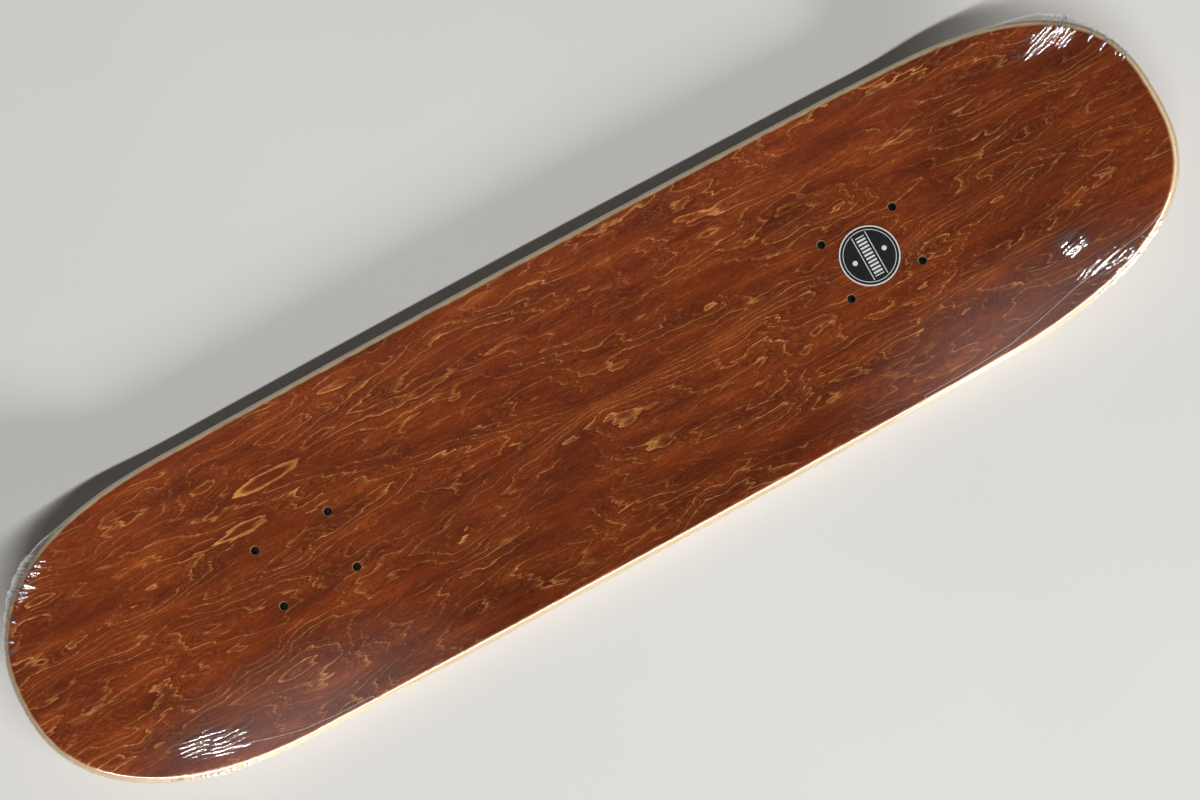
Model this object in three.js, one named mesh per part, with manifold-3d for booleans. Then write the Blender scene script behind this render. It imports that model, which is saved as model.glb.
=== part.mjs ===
// Skateboard deck as it leaves the factory: seven maple plies pressed into one concave board with a
// raised nose and tail, eight bolt holes, a round label on the top ply, and clear shrink film around
// the whole board. Millimetres. +X runs to the nose, +Y across the board, +Z up.

import * as THREE from 'three';
import { mergeVertices } from 'three/addons/utils/BufferGeometryUtils.js';
import Module from 'manifold-3d';

const wasm = await Module();
wasm.setup();

// Plies, from the top face down, with a dry gap where each glue line is
const PLY_NAMES = [
  'top_face_ply',
  'upper_core_ply',
  'upper_cross_ply',
  'centre_core_ply',
  'lower_cross_ply',
  'lower_core_ply',
  'bottom_face_ply',
];
const PLY_THICKNESS = 1.3;
const GLUE_GAP = 0.3;
const PLY_PITCH = PLY_THICKNESS + GLUE_GAP;
const BOARD_THICKNESS = PLY_NAMES.length * PLY_PITCH - GLUE_GAP;

// Bolt patterns
const TRUCK_SPACING = 425;
const BOLT_SPACING_X = 53.975;
const BOLT_SPACING_Y = 41.275;
const BOLT_HOLE_DIAMETER = 5.5;
const BOLT_HOLE_SIDES = 12;

// Side view: flat between the trucks, an arc, then a straight kick. Lengths run along the surface.
const BEND_START = 253.5;
const BEND_RADIUS = 130;
const OUTER_BOLTS = TRUCK_SPACING / 2 + BOLT_SPACING_X / 2;
const NOSE = makeEnd({ pastBolts: 184.1, kickDegrees: 20, curveStart: 227, squareness: 2.66 });
const TAIL = makeEnd({ pastBolts: 175.9, kickDegrees: 19, curveStart: 251, squareness: 2.32 });

// Plan and cross-section
const HALF_WIDTH = 106.8;
const RAIL_TAPER = 1.5;
const TAPER_REACH = 250;
const FLAT_HALF_WIDTH = 32.1;
const CONCAVE_RISE = 8.5;
const KICK_CONCAVE_LOSS = 0.4;
const EDGE_RADIUS = 5;

// Label and film
const LABEL_RADIUS = 20.5;
const LABEL_THICKNESS = 0.3;
const LABEL_SHIFT_X = -2.4;
const LABEL_SHIFT_Y = -1.2;
const LABEL_SIDES = 36;
const FILM_GAP = 0.4;
const FILM_THICKNESS = 0.3;
const FILM_LAP_ANGLE = 55;
const FILM_LAP_SPLIT = 7;

// How finely the surfaces are stepped
const END_STEPS = 10;
const BEND_STEPS = 4;
const FLAT_STEPS = 4;
const RING_FRACTIONS = [0, 0.3, 0.62, 0.86];
const FILM_EDGE_STEP = 30;

const radians = THREE.MathUtils.degToRad;
const clamp = THREE.MathUtils.clamp;
const lerp = THREE.MathUtils.lerp;

// One end of the board: where its kick ends its bend and where its tip lies, along the surface.
function makeEnd({ pastBolts, kickDegrees, curveStart, squareness }) {
  const kick = THREE.MathUtils.degToRad(kickDegrees);
  const bendEnd = BEND_START + BEND_RADIUS * kick;
  return { kick, bendEnd, tip: OUTER_BOLTS + pastBolts, curveStart, squareness };
}

function endAt(s) {
  return s >= 0 ? NOSE : TAIL;
}

// Height of the concave top face over its flat middle strip: a parabola up to each rail, which
// loses part of its rise towards the tips.
function concaveHeight(s, y) {
  const across = Math.max(Math.abs(y) - FLAT_HALF_WIDTH, 0) / (HALF_WIDTH - FLAT_HALF_WIDTH);
  const alongKick = clamp((Math.abs(s) - BEND_START) / (endAt(s).tip - BEND_START), 0, 1);
  return CONCAVE_RISE * across * across * (1 - KICK_CONCAVE_LOSS * alongKick);
}

// Places a point of the bent board: s along its middle line, y across it, and a height square to
// the middle line.
function boardPoint(s, y, height) {
  const end = endAt(s);
  const along = Math.abs(s);
  const angle = clamp((along - BEND_START) / BEND_RADIUS, 0, end.kick);
  const straight = Math.max(along - end.bendEnd, 0);
  const flat = Math.min(along, BEND_START);
  const x = flat + (BEND_RADIUS - height) * Math.sin(angle) + straight * Math.cos(angle);
  const rise = BEND_RADIUS * (1 - Math.cos(angle)) + straight * Math.sin(angle);
  return new THREE.Vector3(Math.sign(s) * x, y, rise + height * Math.cos(angle));
}

// One station of the rounded outline on its +Y side. The rails narrow slightly from the middle, and
// each end is a superellipse. It holds the outward direction and the nearest point of the spine.
function outlineStation(s) {
  const end = endAt(s);
  const along = Math.abs(s);
  const taper = RAIL_TAPER * Math.min(along / TAPER_REACH, 1) ** 2;
  const halfWidth = HALF_WIDTH - taper;
  const endLength = end.tip - end.curveStart;
  const t = clamp((along - end.curveStart) / endLength, 0, 1);
  const share = Math.max(1 - t ** end.squareness, 0) ** (1 / end.squareness);
  const outward = new THREE.Vector2(
    Math.sign(s) * t ** (end.squareness - 1) / endLength,
    share ** (end.squareness - 1) / halfWidth,
  ).normalize();
  const spine = Math.sign(s) * Math.min(along, end.bendEnd);
  return { s, y: halfWidth * share, outward, spine };
}

// Stations around one rounded end, closer together near the tip, from the kick's bend to the tip.
function endStations(end, sign) {
  const stations = [];
  const endLength = end.tip - end.curveStart;
  const firstShare = (end.bendEnd - end.curveStart) / endLength;
  const firstAngle = Math.asin(firstShare ** (end.squareness / 2));
  for (let i = 1; i <= END_STEPS; i += 1) {
    const angle = lerp(firstAngle, Math.PI / 2, i / END_STEPS);
    const s = end.curveStart + endLength * Math.sin(angle) ** (2 / end.squareness);
    stations.push(outlineStation(sign * s));
  }
  return stations;
}

// Stations along the +Y rail, from the nose's bend to the tail's.
function railStations() {
  const stations = [];
  for (let i = BEND_STEPS; i > 0; i -= 1) {
    stations.push(outlineStation(lerp(BEND_START, NOSE.bendEnd, i / BEND_STEPS)));
  }
  for (let i = 0; i <= FLAT_STEPS; i += 1) {
    stations.push(outlineStation(lerp(BEND_START, -BEND_START, i / FLAT_STEPS)));
  }
  for (let i = 1; i <= BEND_STEPS; i += 1) {
    stations.push(outlineStation(-lerp(BEND_START, TAIL.bendEnd, i / BEND_STEPS)));
  }
  return stations;
}

// The whole outline, anticlockwise from above, starting at the nose tip.
function outlineLoop() {
  const half = [
    ...endStations(NOSE, 1).reverse(),
    ...railStations(),
    ...endStations(TAIL, -1),
  ];
  const mirrored = half.slice(1, -1).reverse().map((station) => ({
    ...station,
    y: -station.y,
    outward: new THREE.Vector2(station.outward.x, -station.outward.y),
  }));
  return [...half, ...mirrored];
}

const LOOP = outlineLoop();

// A ring of points part of the way from the spine to the outline.
function innerRing(fraction, heightOf) {
  return LOOP.map((station) => {
    const s = lerp(station.spine, station.s, fraction);
    const y = station.y * fraction;
    return boardPoint(s, y, heightOf(s, y, station, fraction));
  });
}

// A ring of points set in from the outline, at a depth below the top face.
function edgeRing(inset, depth) {
  return LOOP.map((station) => {
    const s = station.s - inset * station.outward.x;
    const y = station.y - inset * station.outward.y;
    return boardPoint(s, y, concaveHeight(s, y) - depth);
  });
}

// How far the rounded edge is set in at a depth below the top face.
function edgeInset(depth) {
  const fromFace = Math.min(depth, BOARD_THICKNESS - depth);
  const fromCentre = clamp(EDGE_RADIUS - fromFace, 0, EDGE_RADIUS);
  return EDGE_RADIUS - Math.sqrt(EDGE_RADIUS ** 2 - fromCentre ** 2);
}

// A ring that runs around the rounded edge at an angle above the horizontal, clear of it by offset.
function roundedRing(angleDegrees, offset, centreDepth) {
  const angle = radians(angleDegrees);
  const radius = EDGE_RADIUS + offset;
  return edgeRing(EDGE_RADIUS - radius * Math.cos(angle), centreDepth - radius * Math.sin(angle));
}

// Keeps only positions, joins equal vertices and drops the triangles that this closes up.
function weld(geometry) {
  geometry.deleteAttribute('normal');
  geometry.deleteAttribute('uv');
  const merged = mergeVertices(geometry);
  const old = merged.index.array;
  const kept = [];
  for (let i = 0; i < old.length; i += 3) {
    const [a, b, c] = [old[i], old[i + 1], old[i + 2]];
    if (a !== b && b !== c && c !== a) {
      kept.push(a, b, c);
    }
  }
  merged.setIndex(kept);
  return merged;
}

// Skins a closed body through rings of points. The first and last rings lie on the spine.
function skin(rings) {
  const count = LOOP.length;
  const geometry = new THREE.BufferGeometry().setFromPoints(rings.flat());
  const index = [];
  for (let ring = 0; ring < rings.length - 1; ring += 1) {
    for (let i = 0; i < count; i += 1) {
      const inner = ring * count + i;
      const innerNext = ring * count + ((i + 1) % count);
      const outer = inner + count;
      const outerNext = innerNext + count;
      index.push(inner, outer, innerNext, innerNext, outer, outerNext);
    }
  }
  geometry.setIndex(index);
  return weld(geometry);
}

function toManifold(geometry) {
  const vertProperties = new Float32Array(geometry.attributes.position.array);
  const triVerts = new Uint32Array(geometry.index.array);
  return new wasm.Manifold(new wasm.Mesh({ numProp: 3, vertProperties, triVerts }));
}

function toGeometry(solid) {
  const { vertProperties, triVerts } = solid.getMesh();
  const geometry = new THREE.BufferGeometry();
  geometry.setAttribute('position', new THREE.BufferAttribute(vertProperties, 3));
  geometry.setIndex(new THREE.BufferAttribute(triVerts, 1));
  return geometry;
}

// The eight bolt holes as one cutter, tall enough for the whole board.
function boltHoleCutter() {
  const length = BOARD_THICKNESS * 2;
  const radius = BOLT_HOLE_DIAMETER / 2;
  let cutter = null;
  for (const truckX of [TRUCK_SPACING / 2, -TRUCK_SPACING / 2]) {
    for (const boltX of [BOLT_SPACING_X / 2, -BOLT_SPACING_X / 2]) {
      for (const boltY of [BOLT_SPACING_Y / 2, -BOLT_SPACING_Y / 2]) {
        const drill = new THREE.CylinderGeometry(radius, radius, length, BOLT_HOLE_SIDES);
        drill.rotateX(Math.PI / 2);
        drill.translate(truckX + boltX, boltY, -BOARD_THICKNESS / 2);
        const hole = toManifold(weld(drill));
        cutter = cutter ? cutter.add(hole) : hole;
      }
    }
  }
  return cutter;
}

// One ply: its top face, its share of the rounded edge, and its bottom face, drilled through.
function plyGeometry(layer, cutter) {
  const topDepth = layer * PLY_PITCH;
  const bottomDepth = topDepth + PLY_THICKNESS;
  const middleDepth = (topDepth + bottomDepth) / 2;
  const topHeight = (s, y) => concaveHeight(s, y) - topDepth;
  const bottomHeight = (s, y) => concaveHeight(s, y) - bottomDepth;
  const rings = [
    ...RING_FRACTIONS.map((fraction) => innerRing(fraction, topHeight)),
    edgeRing(edgeInset(topDepth), topDepth),
    edgeRing(edgeInset(middleDepth), middleDepth),
    edgeRing(edgeInset(bottomDepth), bottomDepth),
    ...RING_FRACTIONS.map((fraction) => innerRing(fraction, bottomHeight)).reverse(),
  ];
  return toGeometry(toManifold(skin(rings)).subtract(cutter));
}

// The lower sheet of film: a cup around the underside and both rounded edges, up to the lap.
function lowerFilmGeometry() {
  const outerOffset = FILM_GAP + FILM_THICKNESS;
  const floorHeight = (offset) => (s, y) => concaveHeight(s, y) - BOARD_THICKNESS - offset;
  const wall = (offset) => {
    const rings = [];
    for (let angle = -90; angle <= 0; angle += FILM_EDGE_STEP) {
      rings.push(roundedRing(angle, offset, BOARD_THICKNESS - EDGE_RADIUS));
    }
    for (const angle of [0, FILM_EDGE_STEP, FILM_LAP_ANGLE]) {
      rings.push(roundedRing(angle, offset, EDGE_RADIUS));
    }
    return rings;
  };
  return skin([
    ...RING_FRACTIONS.map((fraction) => innerRing(fraction, floorHeight(FILM_GAP))),
    ...wall(FILM_GAP),
    ...wall(outerOffset).reverse(),
    ...RING_FRACTIONS.map((fraction) => innerRing(fraction, floorHeight(outerOffset))).reverse(),
  ]);
}

// The upper sheet of film: drawn tight from rail to rail over the concave, so it only touches the
// board around its edge, where it laps down to meet the lower sheet.
function upperFilmGeometry() {
  const rimHeight = (station) => {
    const s = station.s - EDGE_RADIUS * station.outward.x;
    const y = station.y - EDGE_RADIUS * station.outward.y;
    return concaveHeight(s, y);
  };
  const sheetHeight = (offset) => (s, y, station, fraction) => {
    const overSpine = rimHeight(outlineStation(station.spine));
    return lerp(overSpine, rimHeight(station), fraction * fraction) + offset;
  };
  const lap = (offset) => [
    roundedRing(90, offset, EDGE_RADIUS),
    roundedRing(FILM_LAP_ANGLE + FILM_LAP_SPLIT, offset, EDGE_RADIUS),
  ];
  const outerOffset = FILM_GAP + FILM_THICKNESS;
  return skin([
    ...RING_FRACTIONS.map((fraction) => innerRing(fraction, sheetHeight(outerOffset))),
    ...lap(outerOffset),
    ...lap(FILM_GAP).reverse(),
    ...RING_FRACTIONS.map((fraction) => innerRing(fraction, sheetHeight(FILM_GAP))).reverse(),
  ]);
}

function labelGeometry() {
  const disc = new THREE.CylinderGeometry(LABEL_RADIUS, LABEL_RADIUS, LABEL_THICKNESS, LABEL_SIDES);
  disc.rotateX(Math.PI / 2);
  return disc;
}

function material(color, roughness) {
  return new THREE.MeshStandardMaterial({ color, roughness, metalness: 0 });
}

function filmMaterial() {
  const film = material(0xf2f6f8, 0.08);
  film.transparent = true;
  film.opacity = 0.15;
  return film;
}

function named(name, geometry, meshMaterial) {
  const mesh = new THREE.Mesh(geometry, meshMaterial);
  mesh.name = name;
  return mesh;
}

const board = new THREE.Group();

const cutter = boltHoleCutter();
const coreWood = material(0xe3c79b, 0.6);
const crossWood = material(0xd8b684, 0.62);
PLY_NAMES.forEach((name, layer) => {
  const stained = layer === 0;
  const crossGrain = name.includes('cross');
  const wood = stained ? material(0x6b3820, 0.45) : (crossGrain ? crossWood : coreWood).clone();
  board.add(named(name, plyGeometry(layer, cutter), wood));
});

const label = named('round_label', labelGeometry(), material(0x1a1c1e, 0.35));
const labelX = TRUCK_SPACING / 2 + LABEL_SHIFT_X;
label.position.set(labelX, LABEL_SHIFT_Y, GLUE_GAP + LABEL_THICKNESS / 2);
board.add(label);

board.add(named('film_upper_sheet', upperFilmGeometry(), filmMaterial()));
board.add(named('film_lower_sheet', lowerFilmGeometry(), filmMaterial()));

// The origin goes under the middle of the wrapped board, on the surface that it lies on.
const bounds = new THREE.Box3().setFromObject(board);
board.position.set(-(bounds.min.x + bounds.max.x) / 2, 0, -bounds.min.z);

const group = new THREE.Group();
group.add(board);

export default group;
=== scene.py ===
"""The looks of a shrink-wrapped skateboard deck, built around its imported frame. Lengths in the shape
functions are millimetres, and one function turns them to metres in the frame's own axes."""

import math

import bmesh
import bpy
import numpy as np
from mathutils import Matrix, Vector


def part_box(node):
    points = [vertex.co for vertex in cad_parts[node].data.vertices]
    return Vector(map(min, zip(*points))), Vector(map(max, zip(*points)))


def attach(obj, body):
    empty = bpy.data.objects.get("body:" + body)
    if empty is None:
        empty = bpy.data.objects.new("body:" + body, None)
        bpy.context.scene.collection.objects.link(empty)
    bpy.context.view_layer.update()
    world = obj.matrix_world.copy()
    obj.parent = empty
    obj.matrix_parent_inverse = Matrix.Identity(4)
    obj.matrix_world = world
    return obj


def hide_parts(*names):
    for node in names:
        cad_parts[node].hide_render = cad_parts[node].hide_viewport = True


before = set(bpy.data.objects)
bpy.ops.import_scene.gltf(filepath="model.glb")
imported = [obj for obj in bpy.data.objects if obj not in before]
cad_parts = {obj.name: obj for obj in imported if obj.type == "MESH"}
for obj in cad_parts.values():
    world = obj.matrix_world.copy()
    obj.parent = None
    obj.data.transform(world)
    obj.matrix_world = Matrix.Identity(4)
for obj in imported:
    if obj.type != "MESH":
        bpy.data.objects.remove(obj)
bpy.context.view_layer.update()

MM = 0.001
# In metres: points closer than this are one point
MERGE_DISTANCE = 1e-6
SHARP_DEGREES = 40

# The pressed board, as its frame is drawn
BOARD_THICKNESS = 10.9
PLY_NAMES = [
    "top_face_ply",
    "upper_core_ply",
    "upper_cross_ply",
    "centre_core_ply",
    "lower_cross_ply",
    "lower_core_ply",
    "bottom_face_ply",
]
GLUE_LINE = 0.07
PLY_PITCH = (BOARD_THICKNESS + GLUE_LINE) / len(PLY_NAMES)
TRUCK_SPACING = 425.0
BOLT_SPACING_X = 53.975
BOLT_SPACING_Y = 41.275
BOLT_HOLE_RADIUS = 2.75
MOUTH_CHAMFER = 0.5
BEND_START = 253.5
BEND_RADIUS = 130.0
OUTER_BOLTS = TRUCK_SPACING / 2 + BOLT_SPACING_X / 2
HALF_WIDTH = 106.8
RAIL_TAPER = 1.5
TAPER_REACH = 250.0
FLAT_HALF_WIDTH = 32.1
CONCAVE_RISE = 8.5
KICK_CONCAVE_LOSS = 0.4
EDGE_RADIUS = 5.0


class End:
    """One end of the board: its kick angle, where its bend stops, its tip, and its outline's curve."""

    def __init__(self, past_bolts, kick_degrees, curve_start, squareness):
        self.kick = math.radians(kick_degrees)
        self.bend_end = BEND_START + BEND_RADIUS * self.kick
        self.tip = OUTER_BOLTS + past_bolts
        self.curve_start = curve_start
        self.squareness = squareness


NOSE = End(184.1, 20, 227, 2.66)
TAIL = End(175.9, 19, 251, 2.32)

# The label fixes where the board's own middle and top face lie in the frame
LABEL_RADIUS = 20.5
LABEL_MIDDLE = (TRUCK_SPACING / 2 - 2.4, -1.2)
LABEL_CLEARANCE = 0.3
label_low, label_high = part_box("round_label")
SHIFT_X = (label_low.x + label_high.x) / 2 / MM - LABEL_MIDDLE[0]
TOP_FACE_Z = label_low.z / MM - LABEL_CLEARANCE

# Film: the lower sheet wraps up round the edge, and the upper one laps down over it
LOWER_OFFSET = 0.2
BELLY_SLACK = 0.44
UPPER_OFFSET = 0.34
FILM_THICKNESS = 0.06
LOWER_END_DEGREES = 48.0
UPPER_END_DEGREES = 28.0
# The folds have died away by this angle below the horizontal
FOLD_END_DEGREES = 80.0

# Where the film has gathered as it shrank, in patches at three corners of the board: middle (s, y), reach
# along and across the folds, their direction from +X in degrees, their spacing and their height
GATHERS = [
    ((373, 66), (18, 7), 9, 2.9, 0.95),
    ((390, 60), (10, 5), 20, 2.5, 0.6),
    ((338, -79), (19, 6.5), 9, 2.8, 1.0),
    ((331, -61), (10, 7), 12, 2.7, 0.85),
    ((353, -83), (15, 5), 14, 2.2, 0.6),
    ((-317, -81), (23, 8), -12, 3.0, 1.15),
    ((-329, -73), (14, 7), -8, 2.7, 0.85),
]
# Where it stands off the edge in a puff: middle (s, y), reach and height
PUFFS = [
    ((386, 74), 26, 4.6),
    ((-376, 74), 30, 3.8),
    ((-326, -90), 24, 1.6),
    ((348, -84), 24, 0.9),
]
# Small pleats square to the edge: middle (s, y), reach round the edge, how many, how far in, and height
PLEATS = [
    ((402, 50), 30, 34, 9, 0.46),
    ((-388, 56), 34, 44, 8, 0.46),
    ((356, -86), 34, 40, 6, 0.32),
    ((-325, -92), 30, 26, 6, 0.36),
]
# The weld that joins the sheets: (s, distance in from the edge) on top, then round the edge in degrees
WELD_TAIL = [(-318, 15.5), (-299, 13.2), (-287, 11.3), (-264, 7.4), (-240, 5.6)]
WELD_SIDE = [(-215, 66), (-190, 40), (-150, 24), (0, 20), (120, 24), (165, 40), (195, 66)]
WELD_NOSE = [(221, 5.6), (261, 7.2), (305, 13.0), (318, 14.2)]
WELD_NOSE += [(348, 13.4), (361, 11.6), (376, 7.0), (390, 4.6)]
BEAD_RADIUS = 0.12
# The white lines round the ends, painted highlights along the film's fold at the edge: from one place (s, y)
# on the edge to another, anticlockwise from above
NOSE_EDGE_HIGHLIGHT = ((386, -71), (391, 66))
TAIL_EDGE_HIGHLIGHT = ((-352, 89), (-345, -86))
END_HIGHLIGHT_DEGREES = 25.0

# The camera: how it leans toward -Y and -X and is turned, in degrees, what it aims at (mm), how far away it
# is (m), and its lens (mm)
CAMERA_LEAN_Y, CAMERA_LEAN_X, CAMERA_ROLL = 5.8, 2.48, 28.39
CAMERA_AIM = (6.9, -0.3)
CAMERA_DISTANCE = 1.45
LENS_LENGTH = 65.9
SENSOR_WIDTH = 36.0

# The studio, in metres. The floor lies just under the film, so that the two never share a face
FLOOR_HALF = 6.0
FLOOR_Z = -0.0002
KEY_FROM = (1.3, -3.8, 1.1)
KEY_STRENGTH = 3.2
KEY_SPREAD_DEGREES = 13
STRIP_PLACE = (0.0, -1.42, 2.5)
STRIP_AIM = (0, 0, 0.02)
STRIP_SIZE = (2.6, 0.14)
STRIP_WATTS = 64


# ---------------------------------------------------------------- shape of the board


def per_end(s, value):
    """Picks a value of the nose or tail for each s, by its sign."""
    return np.where(np.asarray(s) >= 0, getattr(NOSE, value), getattr(TAIL, value))


def concave_height(s, y):
    """Rise of the top face over its flat strip: the square of the share of the way from the strip
    to the rail, times the full rise, less a part that grows linearly along the kick."""
    across = np.maximum(np.abs(y) - FLAT_HALF_WIDTH, 0) / (HALF_WIDTH - FLAT_HALF_WIDTH)
    along = (np.abs(s) - BEND_START) / (per_end(s, "tip") - BEND_START)
    return CONCAVE_RISE * across**2 * (1 - KICK_CONCAVE_LOSS * np.clip(along, 0, 1))


def board_point(s, y, height):
    """Bends a flat point: straight for the flat, then round an arc, then straight up the kick, with
    height measured square to that line. Returns metres in the frame's axes."""
    s, y, height = np.broadcast_arrays(np.asarray(s, float), y, height)
    along = np.abs(s)
    angle = np.clip((along - BEND_START) / BEND_RADIUS, 0, per_end(s, "kick"))
    straight = np.maximum(along - per_end(s, "bend_end"), 0)
    flat = np.minimum(along, BEND_START)
    x = flat + (BEND_RADIUS - height) * np.sin(angle) + straight * np.cos(angle)
    rise = BEND_RADIUS * (1 - np.cos(angle)) + straight * np.sin(angle) + height * np.cos(angle)
    return np.stack([np.sign(s) * x + SHIFT_X, y, rise + TOP_FACE_Z], axis=-1) * MM


def half_width(s):
    """Half the board's width at s: a slight taper away from the middle, times a superellipse's
    share past the point where each end starts to curve. Also returns that share's parameter."""
    along = np.abs(s)
    width = HALF_WIDTH - RAIL_TAPER * np.minimum(along / TAPER_REACH, 1) ** 2
    n = per_end(s, "squareness")
    start = per_end(s, "curve_start")
    t = np.clip((along - start) / (per_end(s, "tip") - start), 0, 1)
    share = np.maximum(1 - t**n, 0) ** (1 / n)
    return width * share, t, share, width


class Outline:
    """Stations round the board's edge, anticlockwise from above from the nose tip: their place (s, y),
    outward direction (out_s, out_y), and the nearest point of the spine that the rings close on."""

    END_STEPS = 3000
    RAIL_STEPS = 2000

    def __init__(self, spacing, close_spacing=None, close_to=()):
        half_s, half_y = self.fine_half()
        s = np.concatenate([half_s, half_s[-2:0:-1]])
        y = np.concatenate([half_y, -half_y[-2:0:-1]])
        step = np.hypot(np.diff(s, append=s[0]), np.diff(y, append=y[0]))
        crowding = np.full(len(s), 1 / spacing)
        for centre_s, centre_y, reach in close_to:
            near = np.exp(-((np.hypot(s - centre_s, y - centre_y) / reach) ** 4))
            crowding = np.maximum(crowding, near / close_spacing)
        passed = np.concatenate([[0], np.cumsum(step * crowding)])
        count = int(round(passed[-1] / 2)) * 2
        wanted = np.arange(count) * passed[-1] / count
        self.s = np.interp(wanted, passed, np.append(s, s[0]))
        self.y = np.interp(wanted, passed, np.append(y, y[0]))
        self.count = count
        _, t, share, width = half_width(self.s)
        n = per_end(self.s, "squareness")
        length = per_end(self.s, "tip") - per_end(self.s, "curve_start")
        out_s = np.sign(self.s) * t ** (n - 1) / length
        out_y = np.sign(self.y) * share ** (n - 1) / width
        size = np.hypot(out_s, out_y)
        self.out_s = out_s / size
        self.out_y = out_y / size
        self.spine = np.sign(self.s) * np.minimum(np.abs(self.s), per_end(self.s, "bend_end"))
        self.arc = np.concatenate([[0], np.cumsum(np.hypot(np.diff(self.s), np.diff(self.y)))])

    @classmethod
    def fine_half(cls):
        """The +Y side from nose tip to tail tip in fine steps: each end by its superellipse's angle."""
        angle = np.linspace(np.pi / 2, 0, cls.END_STEPS)
        parts_s = []
        for end, sign in ((NOSE, 1), (TAIL, -1)):
            along = end.curve_start + (end.tip - end.curve_start) * np.sin(angle) ** (2 / end.squareness)
            parts_s.append(sign * along)
        rail = np.linspace(NOSE.curve_start, -TAIL.curve_start, cls.RAIL_STEPS)[1:-1]
        s = np.concatenate([parts_s[0], rail, parts_s[1][::-1]])
        return s, half_width(s)[0]

    def inset(self, distance):
        """The outline moved in by a distance, square to itself."""
        return self.s - distance * self.out_s, self.y - distance * self.out_y

    def toward_spine(self, distance, share):
        """Part of the way (share) from the spine to the outline moved in by a distance."""
        s, y = self.inset(distance)
        return self.spine + (s - self.spine) * share, y * share


# ---------------------------------------------------------------- mesh from rings


def closed_from_rings(name, rings, maps):
    """A closed mesh from rings of points. Each ring is joined to the next by quads, and the first and
    last rings lie on the spine, where equal points are merged. maps holds one (u, v) per point."""
    ring_count, count, _ = rings.shape
    inner = np.arange(ring_count - 1)[:, None] * count + np.arange(count)
    inner_next = np.arange(ring_count - 1)[:, None] * count + (np.arange(count) + 1) % count
    quads = np.stack([inner, inner + count, inner_next + count, inner_next], axis=-1).reshape(-1, 4)
    mesh = bpy.data.meshes.new(name)
    mesh.vertices.add(ring_count * count)
    mesh.vertices.foreach_set("co", rings.reshape(-1).astype(np.float32))
    mesh.loops.add(quads.size)
    mesh.loops.foreach_set("vertex_index", quads.reshape(-1).astype(np.int32))
    mesh.polygons.add(len(quads))
    mesh.polygons.foreach_set("loop_start", np.arange(0, quads.size, 4, dtype=np.int32))
    mesh.update(calc_edges=True)
    for map_name, values in maps.items():
        layer = mesh.uv_layers.new(name=map_name)
        layer.data.foreach_set("uv", values.reshape(-1, 2)[quads.reshape(-1)].reshape(-1).astype(np.float32))
    shape = bmesh.new()
    shape.from_mesh(mesh)
    bmesh.ops.remove_doubles(shape, verts=shape.verts, dist=MERGE_DISTANCE)
    shape.to_mesh(mesh)
    shape.free()
    return mesh


def put_in_scene(name, data):
    """An object that holds some data, at the origin."""
    made = bpy.data.objects.new(name, data)
    bpy.context.scene.collection.objects.link(made)
    return made


def add_piece(name, mesh, material, sharp_degrees=SHARP_DEGREES):
    """Puts a mesh in the scene in one material, smooth shaded except across sharp edges."""
    mesh.materials.append(material)
    mesh.polygons.foreach_set("use_smooth", np.ones(len(mesh.polygons), bool))
    mesh.set_sharp_from_angle(angle=math.radians(sharp_degrees))
    return put_in_scene(name, mesh)


# ---------------------------------------------------------------- materials


def linear(hex_colour):
    """An sRGB hex colour as linear RGBA."""
    channels = [int(hex_colour[i : i + 2], 16) / 255 for i in (1, 3, 5)]
    return [c / 12.92 if c <= 0.04045 else ((c + 0.055) / 1.055) ** 2.4 for c in channels] + [1.0]


def add(tree, kind, inputs=None, stops=(), out=None, **settings):
    """Adds a node with its settings, its colour ramp's stops, and its input values or links. Gives its
    output of a name, or else the first that its settings leave in use."""
    node = tree.nodes.new(kind)
    for key, value in settings.items():
        setattr(node, key, value)
    if stops:
        elements = node.color_ramp.elements
        while len(elements) < len(stops):
            elements.new(1.0)
        for element, (place, colour) in zip(elements, stops):
            element.position = place
            element.color = linear(colour) if isinstance(colour, str) else [colour] * 3 + [1.0]
    for key, value in (inputs or {}).items():
        if isinstance(value, bpy.types.NodeSocket):
            tree.links.new(value, node.inputs[key])
        else:
            node.inputs[key].default_value = value
    return node.outputs[out] if out else next(socket for socket in node.outputs if socket.enabled)


def new_material(name):
    """An empty node material, its nodes, and the input that its shader goes to."""
    material = bpy.data.materials.new(name)
    material.use_nodes = True
    material.node_tree.nodes.clear()
    output = material.node_tree.nodes.new("ShaderNodeOutputMaterial")
    return material, material.node_tree, output.inputs["Surface"]


def drawn_out(tree, at, repeats, detail=2.0, roughness=0.5):
    """A noise drawn out along the grain: repeats is how many swells it has in a metre along the grain
    and across it. Gives the socket of its value."""
    spread = add(tree, "ShaderNodeVectorMath", {0: at, 1: (*repeats, 1.0)}, operation="MULTIPLY")
    pattern = {"Scale": 1.0, "Detail": detail, "Roughness": roughness}
    return add(tree, "ShaderNodeTexNoise", {"Vector": spread, **pattern})


def slipped_grain(tree, grain):
    """The grain's coordinates, with neighbouring strips of fibre set further along, which makes jagged
    tips: up to 12 mm either way for strips 4 mm wide, and up to 3 mm for strips 1 mm wide."""
    slipped = grain
    for repeats, furthest in (((9.0, 240.0), 0.024), ((60.0, 900.0), 0.006)):
        slip = drawn_out(tree, grain, repeats)
        slip = add(tree, "ShaderNodeMath", {0: slip, 1: 0.5}, operation="SUBTRACT")
        slip = add(tree, "ShaderNodeCombineXYZ", {"X": slip})
        moved = {0: slip, 1: (furthest, 0.0, 0.0), 2: slipped}
        slipped = add(tree, "ShaderNodeVectorMath", moved, operation="MULTIPLY_ADD")
    return slipped


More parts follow.
